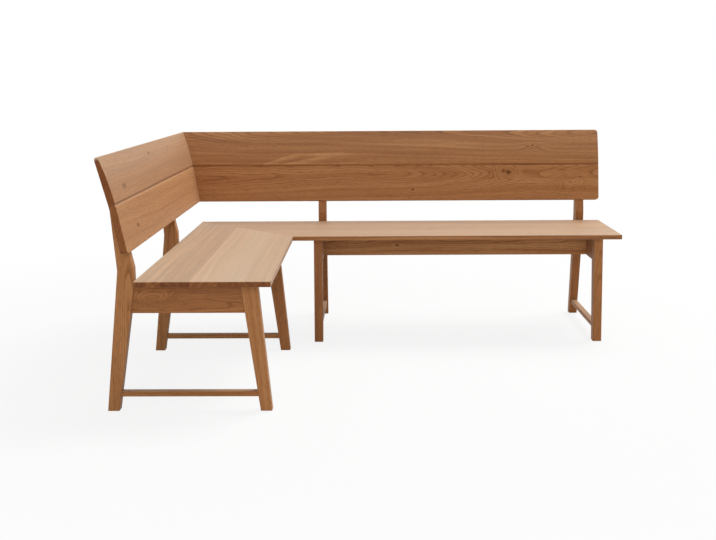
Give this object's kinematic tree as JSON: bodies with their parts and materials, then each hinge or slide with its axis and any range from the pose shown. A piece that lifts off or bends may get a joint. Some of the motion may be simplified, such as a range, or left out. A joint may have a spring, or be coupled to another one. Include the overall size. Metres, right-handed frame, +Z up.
{
  "type": "corner bench",
  "caption": "L-shaped solid wood corner bench: mitred plank seats, leaning board backrests on both wings and splayed side frames; seating along a dining table.",
  "frame": {"origin": "on the floor, under the middle of the bench's overall box", "axes": "+X along the long wing, away from the corner; -Y along the short wing, towards its free end; +Z up"},
  "size_m": [1.947, 1.513, 0.8677],
  "materials": {
    "seat_wood": "oiled, satin",
    "back_wood": "oiled, satin",
    "frame_wood": "oiled, satin",
    "dowel_wood": "bare beech",
    "tongue_plywood": "bare plywood",
    "plate_steel": "zinc plated",
    "screw_steel": "zinc plated",
    "glide_plastic": "matt brown"
  },
  "bodies": {
    "root": {"back_corner_angle_lower": "plate_steel", "back_corner_angle_upper": "plate_steel", "back_corner_screws": "screw_steel", "long_apron_dowels": "dowel_wood", "long_back_lower_board": "back_wood", "long_back_screws": "screw_steel", "long_back_tongue": "tongue_plywood", "long_back_upper_board": "back_wood", "long_bracket_screws": "screw_steel", "long_corner_apron": "frame_wood", "long_corner_front_leg": "frame_wood", "long_corner_post": "frame_wood", "long_corner_stretcher": "frame_wood", "long_end_apron": "frame_wood", "long_end_front_leg": "frame_wood", "long_end_post": "frame_wood", "long_end_stretcher": "frame_wood", "long_glides": "glide_plastic", "long_rail_screws": "screw_steel", "long_seat_brackets": "plate_steel", "long_seat_rail": "frame_wood", "long_seat_stave_1": "seat_wood", "long_seat_stave_2": "seat_wood", "long_seat_stave_3": "seat_wood", "long_seat_stave_4": "seat_wood", "long_seat_stave_5": "seat_wood", "seat_corner_plates": "plate_steel", "seat_corner_screws": "screw_steel", "seat_mitre_tongue": "tongue_plywood", "short_apron_dowels": "dowel_wood", "short_back_lower_board": "back_wood", "short_back_screws": "screw_steel", "short_back_tongue": "tongue_plywood", "short_back_upper_board": "back_wood", "short_bracket_screws": "screw_steel", "short_corner_apron": "frame_wood", "short_corner_front_leg": "frame_wood", "short_corner_post": "frame_wood", "short_corner_stretcher": "frame_wood", "short_end_apron": "frame_wood", "short_end_front_leg": "frame_wood", "short_end_post": "frame_wood", "short_end_stretcher": "frame_wood", "short_glides": "glide_plastic", "short_rail_screws": "screw_steel", "short_seat_brackets": "plate_steel", "short_seat_rail": "frame_wood", "short_seat_stave_1": "seat_wood", "short_seat_stave_2": "seat_wood", "short_seat_stave_3": "seat_wood", "short_seat_stave_4": "seat_wood", "short_seat_stave_5": "seat_wood"}
  },
  "joints": []
}
